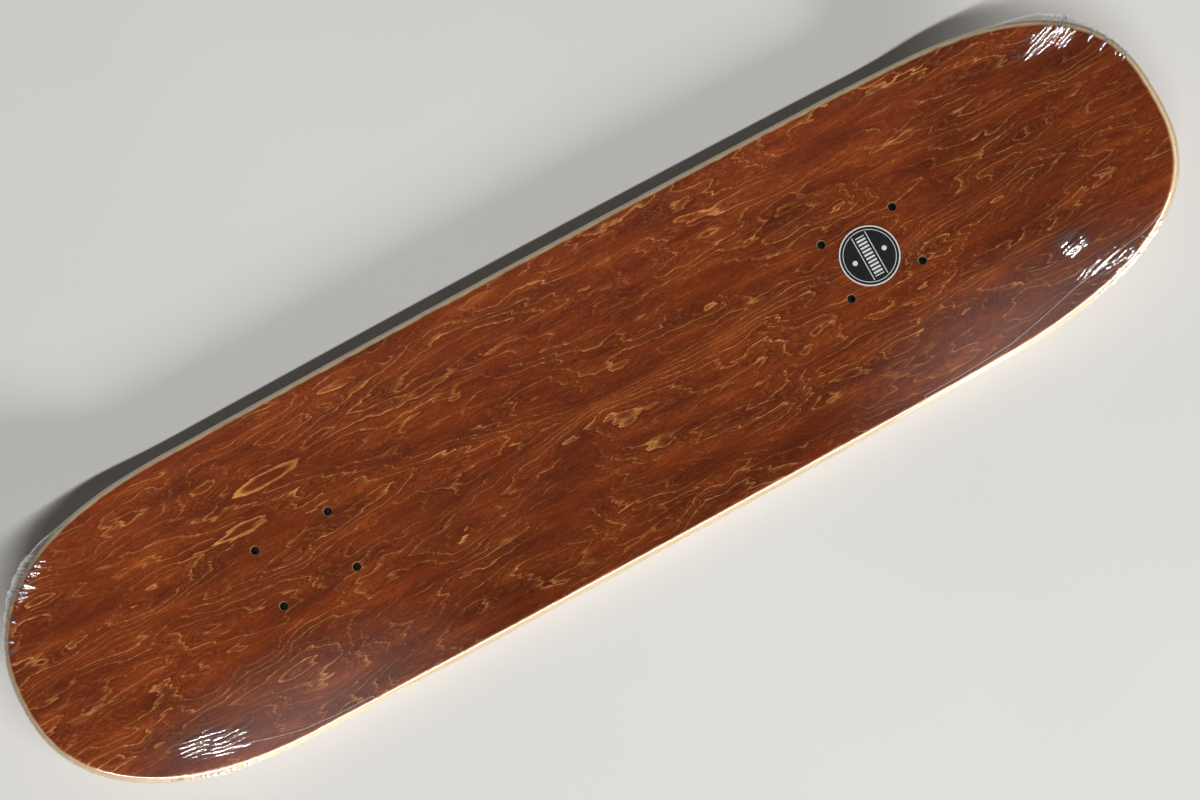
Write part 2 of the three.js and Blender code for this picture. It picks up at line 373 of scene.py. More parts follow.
def growth_lines(tree, slipped):
    """A bold pale line at each growth ring, and three hairlines to a ring, which is fine late growth.
    Which ring lies at the surface is a sum of swells 400 x 70 mm, folds 90 x 25 mm, curls 30 x 17 mm and
    ripples 11 x 3 mm, each times the number of rings that it spans."""
    ring_count = 0.0
    for repeats, rings in (
        ((2.6, 15.0), 24.0),
        ((11.0, 40.0), 7.0),
        ((34.0, 60.0), 2.4),
        ((90.0, 320.0), 0.5),
    ):
        terms = {0: drawn_out(tree, slipped, repeats, detail=1.5), 1: rings, 2: ring_count}
        ring_count = add(tree, "ShaderNodeMath", terms, operation="MULTIPLY_ADD")
    phase = add(tree, "ShaderNodeMath", {0: ring_count}, operation="FRACT")
    stops = [(0.0, 1.0), (0.03, 0.7), (0.08, 0.22), (0.24, 0.0), (0.965, 0.0), (0.988, 1.0)]
    line = add(tree, "ShaderNodeValToRGB", {"Fac": phase}, stops)
    hair_count = add(tree, "ShaderNodeMath", {0: ring_count, 1: 3.0}, operation="MULTIPLY")
    hair_phase = add(tree, "ShaderNodeMath", {0: hair_count}, operation="FRACT")
    stops = [(0.0, 0.28), (0.1, 0.1), (0.4, 0.0), (0.93, 0.0), (0.98, 0.28)]
    hair = add(tree, "ShaderNodeValToRGB", {"Fac": hair_phase}, stops)
    return add(tree, "ShaderNodeMath", {0: line, 1: hair}, operation="MAXIMUM")


def closed_rings(tree, slipped):
    """Two small closed rings near the tail, 45 and 33 mm long, where the knife just broke through a growth
    ring. They are palest at the tail end. Gives their lines, and the places that they take up."""
    lines, places = 0.0, 0.0
    for middle, half_length, half_breadth in (
        ((-0.211, 0.0588), 0.0225, 0.0042),
        ((-0.240, 0.0366), 0.0165, 0.0037),
    ):
        offset = {0: slipped, 1: (*middle, 0.0)}
        offset = add(tree, "ShaderNodeVectorMath", offset, operation="SUBTRACT")
        scaled = {0: offset, 1: (1 / half_length, 1 / half_breadth, 1.0)}
        scaled = add(tree, "ShaderNodeVectorMath", scaled, operation="MULTIPLY")
        reach = add(tree, "ShaderNodeVectorMath", {0: scaled}, operation="LENGTH")
        wobble = {0: drawn_out(tree, slipped, (60.0, 300.0), detail=3.0), 1: 0.9, 2: reach}
        wobble = add(tree, "ShaderNodeMath", wobble, operation="MULTIPLY_ADD")
        half = add(tree, "ShaderNodeMath", {0: wobble, 1: 0.5}, operation="MULTIPLY")
        stops = [(0.53, 0.0), (0.61, 0.45), (0.69, 0.95), (0.755, 0.9), (0.79, 0.0)]
        band = add(tree, "ShaderNodeValToRGB", {"Fac": half}, stops)
        along = add(tree, "ShaderNodeSeparateXYZ", {"Vector": scaled}, out="X")
        fade = {"Value": along, "From Min": -1.1, "From Max": 1.2, "To Min": 1.25, "To Max": 0.5}
        fade = add(tree, "ShaderNodeMapRange", fade)
        band = add(tree, "ShaderNodeMath", {0: band, 1: fade}, operation="MULTIPLY")
        inside = {"Value": wobble, "From Min": 2.3, "From Max": 1.7, "To Min": 0.0, "To Max": 1.0}
        inside = add(tree, "ShaderNodeMapRange", inside)
        lines = add(tree, "ShaderNodeMath", {0: lines, 1: band}, operation="MAXIMUM")
        places = add(tree, "ShaderNodeMath", {0: places, 1: inside}, operation="MAXIMUM")
    return lines, places


def stain_reach(tree, grain):
    """1 where the stain is, 0 on the rounded edge, which is sanded through it to pale wood. At the tail end
    the stain reaches 1 mm further over the edge."""
    edge = add(tree, "ShaderNodeUVMap", uv_map="edge")
    inset = add(tree, "ShaderNodeSeparateXYZ", {"Vector": edge}, out="X")
    ragged = {0: drawn_out(tree, grain, (90.0, 90.0), detail=3.0), 1: 1.6, 2: inset}
    ragged = add(tree, "ShaderNodeMath", ragged, operation="MULTIPLY_ADD")
    along_board = add(tree, "ShaderNodeSeparateXYZ", {"Vector": grain}, out="X")
    further = {"Value": along_board, "From Min": -0.33, "From Max": -0.38, "To Min": 0.0, "To Max": 1.0}
    further = add(tree, "ShaderNodeMapRange", further)
    ragged = add(tree, "ShaderNodeMath", {0: ragged, 1: further}, operation="ADD")
    stained = {"Value": ragged, "From Min": EDGE_RADIUS - 2.0, "From Max": EDGE_RADIUS - 0.1}
    return add(tree, "ShaderNodeMapRange", stained)


def stained_maple():
    """Rotary-cut maple veneer under a brown stain. The knife follows the growth rings, so each ring's
    soft start shows as a long wandering pale line, which opens into a pale patch where the cut runs
    along a ring and closes to a hair where it crosses one steeply."""
    material, tree, surface = new_material("stained_rotary_cut_maple")
    grain = add(tree, "ShaderNodeUVMap", uv_map="grain")
    slipped = slipped_grain(tree, grain)
    line = growth_lines(tree, slipped)
    ring_lines, ring_places = closed_rings(tree, slipped)

    # Each line is bold for a few centimetres and then faint
    boldness = drawn_out(tree, grain, (11.0, 44.0), detail=3.0, roughness=0.65)
    boldness = {"Value": boldness, "From Min": 0.4, "From Max": 0.64, "To Min": 0.08, "To Max": 1.05}
    boldness = add(tree, "ShaderNodeMapRange", boldness)
    line = add(tree, "ShaderNodeMath", {0: line, 1: boldness}, operation="MULTIPLY")
    marks = {"Factor": ring_places, "A": line, "B": ring_lines}
    marks = add(tree, "ShaderNodeMix", marks, data_type="FLOAT")
    # Fibre ends 7 x 1 mm break every line up
    speckle = drawn_out(tree, grain, (140.0, 1000.0), detail=3.0, roughness=0.7)
    speckle = {"Value": speckle, "From Min": 0.36, "From Max": 0.6, "To Min": 0.62, "To Max": 1.15}
    speckle = add(tree, "ShaderNodeMapRange", speckle)
    pale_share = {0: marks, 1: speckle}
    pale_share = add(tree, "ShaderNodeMath", pale_share, operation="MULTIPLY", use_clamp=True)

    # Between the lines: stain that took more here and less there, fibres, and pores, dark dashes 3 x 0.7 mm
    ground = drawn_out(tree, slipped, (14.0, 70.0), detail=4.0, roughness=0.65)
    stops = [(0.3, "#5e230c"), (0.45, "#742f0f"), (0.58, "#853812"), (0.72, "#a04b1a")]
    ground = add(tree, "ShaderNodeValToRGB", {"Fac": ground}, stops)
    tone = {"Factor": pale_share, "A": ground, "B": linear("#e59b54")}
    tone = add(tree, "ShaderNodeMix", tone, data_type="RGBA")
    fibre = drawn_out(tree, grain, (60.0, 1500.0), detail=3.0, roughness=0.65)
    pores = drawn_out(tree, grain, (330.0, 1400.0), detail=2.0, roughness=0.7)
    for pattern, stops in (
        (fibre, [(0.3, 0.76), (0.5, 1.0), (0.72, 1.26)]),
        (pores, [(0.3, 0.5), (0.42, 0.93), (0.58, 1.06), (0.7, 1.4)]),
    ):
        shade = add(tree, "ShaderNodeValToRGB", {"Fac": pattern}, stops)
        tone = {"Factor": 1.0, "A": tone, "B": shade}
        tone = add(tree, "ShaderNodeMix", tone, data_type="RGBA", blend_type="MULTIPLY")

    colour = {"Factor": stain_reach(tree, grain), "A": linear("#ecd2a8"), "B": tone}
    colour = add(tree, "ShaderNodeMix", colour, data_type="RGBA")
    relief = {"Strength": 0.25, "Distance": 0.0002, "Height": fibre}
    relief = add(tree, "ShaderNodeBump", relief)
    gloss = {"Roughness": 0.55, "IOR": 1.5, "Specular IOR Level": 0.08, "Normal": relief}
    wood = add(tree, "ShaderNodeBsdfPrincipled", {"Base Color": colour, **gloss})
    tree.links.new(wood, surface)
    return material


def raw_maple(name, tones, fibre_repeats):
    """Unfinished maple, sanded: pale cream with fine fibres, which run along the board or, in the two
    cross plies, across it, where their cut ends make the edge look dotted. The amber glue lines between
    the plies are 0.07 mm thick, and are drawn 0.4 mm wide so that they show. The bottom face ply has a
    thin clear sealer, which only warms its tone."""
    material, tree, surface = new_material(name)
    place = add(tree, "ShaderNodeTexCoord", out="Object")
    fibre = add(tree, "ShaderNodeVectorMath", {0: place, 1: fibre_repeats}, operation="MULTIPLY")
    fibre = {"Vector": fibre, "Scale": 1.0, "Detail": 3.0, "Roughness": 0.6}
    fibre = add(tree, "ShaderNodeTexNoise", fibre)
    shade = add(tree, "ShaderNodeValToRGB", {"Fac": fibre}, list(zip((0.3, 0.55, 0.75), tones)))
    edge = add(tree, "ShaderNodeUVMap", uv_map="edge")
    depth = add(tree, "ShaderNodeSeparateXYZ", {"Vector": edge}, out="Y")
    in_plies = add(tree, "ShaderNodeMath", {0: depth, 1: PLY_PITCH}, operation="DIVIDE")
    in_ply = add(tree, "ShaderNodeMath", {0: in_plies}, operation="FRACT")
    stops = [(0.0, 1.0), (0.06, 1.0), (0.13, 0.0), (0.82, 0.0), (0.89, 1.0)]
    glue = add(tree, "ShaderNodeValToRGB", {"Fac": in_ply}, stops)
    # There is none on the outer face of the lowest ply
    above_bottom = {0: depth, 1: BOARD_THICKNESS - 0.6}
    above_bottom = add(tree, "ShaderNodeMath", above_bottom, operation="LESS_THAN")
    glue = add(tree, "ShaderNodeMath", {0: glue, 1: above_bottom}, operation="MULTIPLY")
    glued = {"Factor": glue, "A": shade, "B": linear("#8f6535")}
    glued = add(tree, "ShaderNodeMix", glued, data_type="RGBA")
    wood = add(tree, "ShaderNodeBsdfPrincipled", {"Base Color": glued, "Roughness": 0.6, "IOR": 1.5})
    tree.links.new(wood, surface)
    return material


def drilled_maple():
    """The walls of the bolt holes: nearly black, as painted shade down the bore, but for the mouth, which
    pales over the top 0.9 mm."""
    material, tree, surface = new_material("bore_wall_painted_shade")
    place = add(tree, "ShaderNodeTexCoord", out="Object")
    height = add(tree, "ShaderNodeSeparateXYZ", {"Vector": place}, out="Z")
    mouth = {"Value": height, "From Min": (TOP_FACE_Z - 0.9) * MM, "From Max": (TOP_FACE_Z - 0.4) * MM}
    mouth = add(tree, "ShaderNodeMapRange", mouth)
    rough = add(tree, "ShaderNodeTexNoise", {"Vector": place, "Scale": 1500.0, "Detail": 2.0})
    # Nearly black all down the bore: painted shade
    painted_bore_shade = add(tree, "ShaderNodeValToRGB", {"Fac": rough}, [(0.35, "#1c1712"), (0.65, "#3a2c1e")])
    tone = {"Factor": mouth, "A": painted_bore_shade, "B": linear("#94714a")}
    tone = add(tree, "ShaderNodeMix", tone, data_type="RGBA")
    wall = add(tree, "ShaderNodeBsdfPrincipled", {"Base Color": tone, "Roughness": 0.8, "IOR": 1.5})
    tree.links.new(wall, surface)
    return material


def shrink_film():
    """Clear polyolefin shrink film, blown and then shrunk tight with hot air: mirror-like glints, which
    are strongest where it is seen edge on and where it has crinkled, and no colour of its own, but for a
    milky tinge where it is gathered. A faint grey haze near the bends by the -Y rail is a painted
    reflection."""
    material, tree, surface = new_material("clear_polyolefin_shrink_film")
    # Fine creases 2 mm apart and 20 mm long, only where the film is gathered
    layers = add(tree, "ShaderNodeUVMap", uv_map="layers")
    depth = add(tree, "ShaderNodeSeparateXYZ", {"Vector": layers}, out="X")
    place = add(tree, "ShaderNodeTexCoord", out="Object")
    crease = drawn_out(tree, place, (50.0, 460.0), detail=2.0, roughness=0.6)
    creased = add(tree, "ShaderNodeMath", {0: crease, 1: depth}, operation="MULTIPLY")
    relief = {"Strength": 1.0, "Distance": 0.0004, "Height": creased}
    relief = add(tree, "ShaderNodeBump", relief)
    gloss = {"Color": (1, 1, 1, 1), "Roughness": 0.12, "Normal": relief}
    gloss = add(tree, "ShaderNodeBsdfGlossy", gloss)
    clear = add(tree, "ShaderNodeBsdfTransparent", {"Color": (1, 1, 1, 1)})
    # Schlick's rule for plastic of index 1.5, the same from both sides of a sheet
    slant = add(tree, "ShaderNodeLayerWeight", {"Blend": 0.5}, out="Facing")
    steep = add(tree, "ShaderNodeMath", {0: slant, 1: 5.0}, operation="POWER")
    single = add(tree, "ShaderNodeMath", {0: steep, 1: 0.95, 2: 0.05}, operation="MULTIPLY_ADD")
    # Where it is gathered, light meets many faces of film one under another, and some of it scatters
    share = {0: depth, 1: 0.42, 2: single}
    share = add(tree, "ShaderNodeMath", share, operation="MULTIPLY_ADD", use_clamp=True)
    film = add(tree, "ShaderNodeMixShader", {"Fac": share, 1: clear, 2: gloss})
    milk = {"Factor": depth, "A": linear("#000000"), "B": linear("#35373a")}
    milk = add(tree, "ShaderNodeMix", milk, data_type="RGBA")
    # A painted reflection haze: a faint grey added to what it scatters near each bend by the -Y rail, in two
    # soft ovals, 340 mm along the board and reaching 75 mm in from the rail
    parts = add(tree, "ShaderNodeSeparateXYZ", {"Vector": place}).node.outputs
    either_end = add(tree, "ShaderNodeMath", {0: parts["X"]}, operation="ABSOLUTE")
    folded = add(tree, "ShaderNodeCombineXYZ", {"X": either_end, "Y": parts["Y"]})
    oval = {0: folded, 1: (0.275, -0.105, 0.0)}
    oval = add(tree, "ShaderNodeVectorMath", oval, operation="SUBTRACT")
    oval = {0: oval, 1: (1 / 0.17, 1 / 0.075, 0.0)}
    oval = add(tree, "ShaderNodeVectorMath", oval, operation="MULTIPLY")
    away = add(tree, "ShaderNodeVectorMath", {0: oval}, operation="LENGTH")
    painted_haze = {"Value": away, "From Min": 1.0, "From Max": 0.0, "To Min": 0.0, "To Max": 0.036}
    painted_haze = add(tree, "ShaderNodeMapRange", painted_haze, interpolation_type="SMOOTHSTEP")
    # The milky tinge of gathered film, plus the painted reflection haze
    milky = {"Factor": 1.0, "A": milk, "B": painted_haze}
    milky = add(tree, "ShaderNodeMix", milky, data_type="RGBA", blend_type="ADD")
    scattered = add(tree, "ShaderNodeBsdfDiffuse", {"Color": milky})
    whole = add(tree, "ShaderNodeAddShader", {0: film, 1: scattered})
    tree.links.new(whole, surface)
    return material


def printed_vinyl():
    """Self-adhesive vinyl, printed black with a plain white pattern: a rim, a fine ring inside it, two
    rules with upright bars between them, and a dot above and below. Lengths are in millimetres."""
    material, tree, surface = new_material("printed_vinyl_label")
    place = add(tree, "ShaderNodeTexCoord", out="Object")
    flat = {0: place, 1: ((LABEL_MIDDLE[0] + SHIFT_X) * MM, LABEL_MIDDLE[1] * MM, 0.0)}
    flat = add(tree, "ShaderNodeVectorMath", flat, operation="SUBTRACT")
    flat = {0: flat, 1: (1 / MM, 1 / MM, 0.0)}
    flat = add(tree, "ShaderNodeVectorMath", flat, operation="MULTIPLY")
    parts = add(tree, "ShaderNodeSeparateXYZ", {"Vector": flat}).node.outputs
    radius = add(tree, "ShaderNodeVectorMath", {0: flat}, operation="LENGTH")
    up = add(tree, "ShaderNodeMath", {0: parts["X"]}, operation="ABSOLUTE")
    bar_pitch = 2.6
    in_bars = add(tree, "ShaderNodeMath", {0: parts["Y"], 1: bar_pitch}, operation="DIVIDE")
    in_bar = add(tree, "ShaderNodeMath", {0: in_bars}, operation="FRACT")
    dot_middle = (11.0, 0.0, 0.0)
    folded = add(tree, "ShaderNodeCombineXYZ", {"X": up, "Y": parts["Y"]})
    dot = {0: folded, 1: dot_middle}
    dot = add(tree, "ShaderNodeVectorMath", dot, operation="DISTANCE")

    # Each mark is where all its tests hold: a value within some reach of a target
    rim = [(radius, LABEL_RADIUS, 0.95)]
    fine_ring = [(radius, 17.7, 0.22)]
    rules = [(up, 5.0, 0.28), (radius, 0.0, 16.6)]
    bars = [(in_bar, 0.5, 0.27), (up, 0.0, 3.2), (parts["Y"], 0.0, 14.3)]
    dots = [(dot, 0.0, 1.7)]
    white = 0.0
    for tests in (rim, fine_ring, rules, bars, dots):
        mark = 1.0
        for value, target, reach in tests:
            held = {0: value, 1: target, 2: reach}
            held = add(tree, "ShaderNodeMath", held, operation="COMPARE")
            mark = add(tree, "ShaderNodeMath", {0: mark, 1: held}, operation="MULTIPLY")
        white = add(tree, "ShaderNodeMath", {0: white, 1: mark}, operation="MAXIMUM")
    wear = add(tree, "ShaderNodeTexNoise", {"Vector": place, "Scale": 700.0, "Detail": 3.0})
    black = add(tree, "ShaderNodeValToRGB", {"Fac": wear}, [(0.35, "#0b0e10"), (0.7, "#1c2123")])
    ink = add(tree, "ShaderNodeMix", {"Factor": white, "A": black, "B": linear("#f4f4f1")}, data_type="RGBA")
    vinyl = add(tree, "ShaderNodeBsdfPrincipled", {"Base Color": ink, "Roughness": 0.4, "IOR": 1.5})
    tree.links.new(vinyl, surface)
    return material


# ---------------------------------------------------------------- pieces


def edge_inset(depth):
    """How far the rounded edge is set in at a depth: a quarter circle at the top and at the bottom."""
    from_face = np.minimum(depth, BOARD_THICKNESS - depth)
    from_centre = np.clip(EDGE_RADIUS - from_face, 0, EDGE_RADIUS)
    return EDGE_RADIUS - np.sqrt(EDGE_RADIUS**2 - from_centre**2)


FACE_SHARES = np.linspace(0, 1, 12)
FACE_MARGIN = 9.0
EDGE_RINGS = 7


def ply_mesh(name, outline, layer):
    """One ply: rings out over its top face, down its share of the rounded edge, and back in over its
    bottom face. The grain map holds (s, y) in metres, and the edge map (inset, depth) in mm."""
    top = layer * PLY_PITCH
    bottom = top + PLY_PITCH - GLUE_LINE
    depths = np.linspace(top, bottom, EDGE_RINGS)
    rings, grain, edge = [], [], []

    def ring(s, y, depth, inset):
        rings.append(board_point(s, y, concave_height(s, y) - depth))
        grain.append(np.stack([s, y], -1) * MM)
        edge.append(np.stack(np.broadcast_arrays(np.full(outline.count, inset), depth), -1))

    for share in FACE_SHARES:
        ring(*outline.toward_spine(FACE_MARGIN, share), top, FACE_MARGIN)
    for depth in depths:
        inset = float(edge_inset(depth))
        ring(*outline.inset(inset), depth, inset)
    for share in FACE_SHARES[::-1]:
        ring(*outline.toward_spine(FACE_MARGIN, share), bottom, FACE_MARGIN)
    maps = {"grain": np.array(grain), "edge": np.array(edge)}
    return closed_from_rings(name, np.array(rings), maps)


BORE_SIDES = 40


def hole_cutter(name, material, middle, depth, low_radius, high_radius):
    """The eight bolt holes as one mesh of upright round bores, each from one radius to another."""
    cutter = bmesh.new()
    for truck in (-0.5, 0.5):
        for bolt_x in (-0.5, 0.5):
            for bolt_y in (-0.5, 0.5):
                x = truck * TRUCK_SPACING + bolt_x * BOLT_SPACING_X + SHIFT_X
                bmesh.ops.create_cone(
                    cutter,
                    cap_ends=True,
                    segments=BORE_SIDES,
                    radius1=low_radius * MM,
                    radius2=high_radius * MM,
                    depth=depth * MM,
                    matrix=Matrix.Translation((x * MM, bolt_y * BOLT_SPACING_Y * MM, middle * MM)),
                )
    mesh = bpy.data.meshes.new(name)
    cutter.to_mesh(mesh)
    cutter.free()
    mesh.materials.append(material)
    return put_in_scene(name, mesh)


def drill(piece, tool):
    """Cuts the tool out of a piece and keeps the result as its mesh."""
    cut = piece.modifiers.new("bolt_holes", "BOOLEAN")
    cut.operation = "DIFFERENCE"
    cut.solver = "EXACT"
    cut.material_mode = "TRANSFER"
    cut.object = tool
    bpy.context.view_layer.update()
    evaluated = piece.evaluated_get(bpy.context.evaluated_depsgraph_get())
    drilled = bpy.data.meshes.new_from_object(evaluated)
    piece.modifiers.clear()
    piece.data = drilled
    drilled.set_sharp_from_angle(angle=math.radians(SHARP_DEGREES))


def make_plies():
    """The seven plies, each in place of its CAD node."""
    # Fibres 25 mm long and 1.1 mm thick, as swells in a metre along each axis
    lengthwise, crosswise = (40.0, 900.0, 900.0), (900.0, 40.0, 900.0)
    core = raw_maple("raw_maple_core", ("#cfae7c", "#e3c89c", "#eed9b4"), lengthwise)
    cross = raw_maple("raw_maple_cross_ply", ("#b58f5c", "#d6b684", "#e4cb9f"), crosswise)
    bottom = raw_maple("sealed_maple_bottom", ("#d1ae7a", "#dfc092", "#e8cfa4"), lengthwise)
    stained = stained_maple()
    outline = Outline(spacing=5.0)
    # The bores go right through, and a cone at 45 degrees, centred on the top face, chamfers each mouth
    wall = drilled_maple()
    radius = BOLT_HOLE_RADIUS
    bores = hole_cutter("bores", wall, TOP_FACE_Z - BOARD_THICKNESS / 2, 2 * BOARD_THICKNESS, radius, radius)
    half_cone = 1.0
    mouth = radius + MOUTH_CHAMFER
    mouths = hole_cutter("mouths", wall, TOP_FACE_Z, 2 * half_cone, mouth - half_cone, mouth + half_cone)
    finishes = {0: stained, 2: cross, 4: cross, 6: bottom}
    for layer, node in enumerate(PLY_NAMES):
        mesh = ply_mesh("deck_" + node, outline, layer)
        piece = add_piece("deck_" + node, mesh, finishes.get(layer, core))
        drill(piece, bores)
        if layer == 0:
            drill(piece, mouths)
        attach(piece, "root")
        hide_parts(node)
    bpy.data.objects.remove(bores)
    bpy.data.objects.remove(mouths)


def rim_height(s, y, out_s, out_y):
    """Height of the board's face where its rounded edge begins."""
    return concave_height(s - EDGE_RADIUS * out_s, y - EDGE_RADIUS * out_y)


LATTICE = 64


def smooth_noise(u, v, seed):
    """A wandering value from -1 to 1: random values at whole numbers of u and v, with a smooth step
    between them."""
    lattice = np.random.default_rng(seed).uniform(-1, 1, (LATTICE, LATTICE))
    cell_u, cell_v = np.floor(u).astype(int), np.floor(v).astype(int)
    part_u, part_v = u - cell_u, v - cell_v
    part_u = part_u * part_u * (3 - 2 * part_u)
    part_v = part_v * part_v * (3 - 2 * part_v)
    here, beyond = cell_u % LATTICE, (cell_u + 1) % LATTICE
    rows = []
    for row in (cell_v % LATTICE, (cell_v + 1) % LATTICE):
        rows.append(lattice[here, row] * (1 - part_u) + lattice[beyond, row] * part_u)
    return rows[0] * (1 - part_v) + rows[1] * part_v


def gathered(s, y):
    """Height of the gathered film, and how many layers deep it lies there, from 0 for one to 1 for many:
    at each gather, round-topped folds side by side (a squared cosine across them), which wander by up to
    their own spacing, rise and fall every 7 mm or so along their length, and carry fine wrinkles, on a
    low bulge, all within a soft-edged oval."""
    height = np.zeros(np.shape(s))
    layers = np.zeros(np.shape(s))
    for seed, ((middle_s, middle_y), (reach, width), degrees, spacing, tall) in enumerate(GATHERS):
        turn = math.radians(degrees)
        along = (s - middle_s) * math.cos(turn) + (y - middle_y) * math.sin(turn)
        across = (y - middle_y) * math.cos(turn) - (s - middle_s) * math.sin(turn)
        inside = np.exp(-(((along / reach) ** 2 + (across / width) ** 2) ** 1.6))
        wander = 0.9 * smooth_noise(along / 16 + 7, across / 7 + 7, seed)
        fold = 0.5 + 0.5 * np.cos(2 * np.pi * (across / spacing + wander))
        broken = 0.64 + 0.36 * smooth_noise(along / 7 + 31, across / spacing + 31, seed + 50)
        fine = 0.12 * smooth_noise(along / 3 + 3, across / 1.3 + 3, seed + 90)
        bulge = 0.7 * np.exp(-((along / reach) ** 2 + (across / width) ** 2) * 3)
        height = height + tall * inside * (fold**2 * broken + fine + bulge)
        crest = np.clip(fold**2 * broken * 1.6 - 0.2, 0, 1)
        layers = layers + inside * crest
    return height, layers


def near_station(outline, middle, reach):
    """1 at the stations by a point, falling smoothly to 0 past its reach."""
    away = np.hypot(outline.s - middle[0], outline.y - middle[1]) / reach
    return np.exp(-(away**2.6))


def stand_off(outline, distance_in, fold_share):
    """How far the film stands off the board at each station, and how many layers deep it is: its puffs,
    with a slow wave in them, and its pleats, each a narrow ridge that leans a little either way from
    square to the edge, starts outside it and dies away inwards."""
    rise = np.zeros(outline.count)
    layers = np.zeros(outline.count)
    for seed, (middle, reach, tall) in enumerate(PUFFS):
        wave = 1 + 0.16 * smooth_noise(outline.arc / 6, distance_in / 9 + 5, seed + 200)
        rise += tall * near_station(outline, middle, reach) * wave * np.exp(-((distance_in / 15) ** 2))
    for seed, (middle, reach, count, length, tall) in enumerate(PLEATS):
        chance = np.random.default_rng(300 + seed)
        centre = outline.arc[np.argmin(np.hypot(outline.s - middle[0], outline.y - middle[1]))]
        for _ in range(count):
            place = centre + reach * chance.uniform(-1, 1) + distance_in * chance.uniform(-0.6, 0.6)
            reach_in = length * chance.uniform(0.35, 1.2)
            narrow = chance.uniform(0.35, 0.65)
            ridge = np.exp(-(((outline.arc - place) / narrow) ** 2))
            ridge = ridge * np.exp(-((distance_in / reach_in) ** 4)) * chance.uniform(0.5, 1.2)
            rise += tall * ridge
            layers += 0.8 * ridge
    return rise * fold_share, np.clip(layers, 0, 1) * fold_share


def inward_at(angle):
    """How far in from the film's outermost line a place on the edge counts as, for puffs and pleats."""
    return EDGE_RADIUS * math.sin(max(angle, 0)) * 0.9


def round_edge(outline, angle, radius, centre_depth):
    """Places at a radius about the line that the rounded edge turns on, at an angle above the horizontal:
    (s, y), height, and the (s, y) of the wood under them."""
    s, y = outline.inset(EDGE_RADIUS - radius * math.cos(angle))
    wood_s, wood_y = outline.inset(EDGE_RADIUS * (1 - math.cos(angle)))
    height = concave_height(wood_s, wood_y) - centre_depth + radius * math.sin(angle)
    return s, y, height, wood_s, wood_y


def film_rings(outline, offset, face_sign, shares, degrees):
    """Rings of one sheet, as (s, y, height, layers). Its face part runs out from the spine, drawn tight
    from rail to rail on top (face_sign 1) or against the wood below (-1), and its edge part turns round
    the board's rounded edge at angles above the horizontal."""
    over_spine = rim_height(outline.spine, half_width(outline.spine)[0], 0, 1)
    over_rim = rim_height(outline.s, outline.y, outline.out_s, outline.out_y)
    rings = []
    for share in shares:
        s, y = outline.toward_spine(EDGE_RADIUS, share)
        distance_in = np.hypot(outline.s - s, outline.y - y)
        if face_sign > 0:
            folds, fold_layers = gathered(s, y)
            rise, rise_layers = stand_off(outline, distance_in, 1.0)
            height = over_spine + (over_rim - over_spine) * share**2 + offset + folds + rise
            layers = fold_layers + rise_layers
        else:
            height = concave_height(s, y) - BOARD_THICKNESS - offset - BELLY_SLACK
            layers = np.zeros(outline.count)
        rings.append((s, y, height, layers))
    for degree in degrees:
        angle = math.radians(degree)
        fold_share = np.clip((degree + FOLD_END_DEGREES) / FOLD_END_DEGREES, 0, 1) ** 2
        rise, layers = stand_off(outline, inward_at(angle), fold_share)
        radius = EDGE_RADIUS + offset + BELLY_SLACK * max(-math.sin(angle), 0) ** 3 + rise
        centre_depth = EDGE_RADIUS if degree > 0 else BOARD_THICKNESS - EDGE_RADIUS
        s, y, height, wood_s, wood_y = round_edge(outline, angle, radius, centre_depth)
        if face_sign > 0:
            folds, fold_layers = gathered(wood_s, wood_y)
            height = height + folds * math.sin(angle)
            layers = layers + fold_layers
        rings.append((s, y, height, layers))
    return rings


def make_label():
    """Gives the label its print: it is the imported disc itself."""
    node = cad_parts["round_label"]
    node.data.materials.clear()
    node.data.materials.append(printed_vinyl())


def make_film(material):
    """The two sheets of film, each a thin closed shell, with its points close together by the pleats."""
    corner_reach = 38.0
    corners = [(*middle, corner_reach) for middle, *_ in PLEATS]
    outline = Outline(spacing=6.0, close_spacing=0.48, close_to=corners)
    upper_shares = np.concatenate([[0, 0.15, 0.3, 0.45, 0.56], np.linspace(0.64, 1, 44)])
    lower_shares = np.linspace(0, 1, 9)
    upper_degrees = np.linspace(85, UPPER_END_DEGREES, 9)
    under, beside = np.linspace(-FOLD_END_DEGREES, 0, 7), np.linspace(0.1, LOWER_END_DEGREES, 6)
    lower_degrees = np.concatenate([under, beside])
    for node, offset, sign, shares, degrees in (
        ("film_upper_sheet", UPPER_OFFSET, 1, upper_shares, upper_degrees),
        ("film_lower_sheet", LOWER_OFFSET, -1, lower_shares, lower_degrees),
    ):
        near = film_rings(outline, offset, sign, shares, degrees)
        far = film_rings(outline, offset + FILM_THICKNESS, sign, shares, degrees)
        rings = far + near[::-1] if sign > 0 else near + far[::-1]
        points = np.array([board_point(s, y, height) for s, y, height, _ in rings])
        layers = np.array([np.stack([np.clip(depth, 0, 1), 0 * depth], -1) for *_, depth in rings])
        mesh = closed_from_rings("wrap_" + node, points, {"layers": layers})
        piece = add_piece("wrap_" + node, mesh, material, sharp_degrees=80)
        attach(piece, "root")
        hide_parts(node)


def tube_along(name, path, radius, sides=8):
    """A closed round tube along a path of points in metres, pinched to nothing at both ends. Each ring
    stands square to the path, on the vertical and the direction square to both."""
    forward = np.gradient(path, axis=0)
    forward /= np.linalg.norm(forward, axis=1)[:, None]
    side = np.cross(forward, [0.0, 0.0, 1.0])
    side /= np.linalg.norm(side, axis=1)[:, None]
    lift = np.cross(side, forward)
    girth = np.full(len(path), radius)
    girth[[0, -1]] = 0
    turn = np.arange(sides) * 2 * np.pi / sides
    spokes = side[:, None] * np.cos(turn)[None, :, None] + lift[:, None] * np.sin(turn)[None, :, None]
    rings = path[:, None] + girth[:, None, None] * spokes
    return closed_from_rings(name, rings, {})


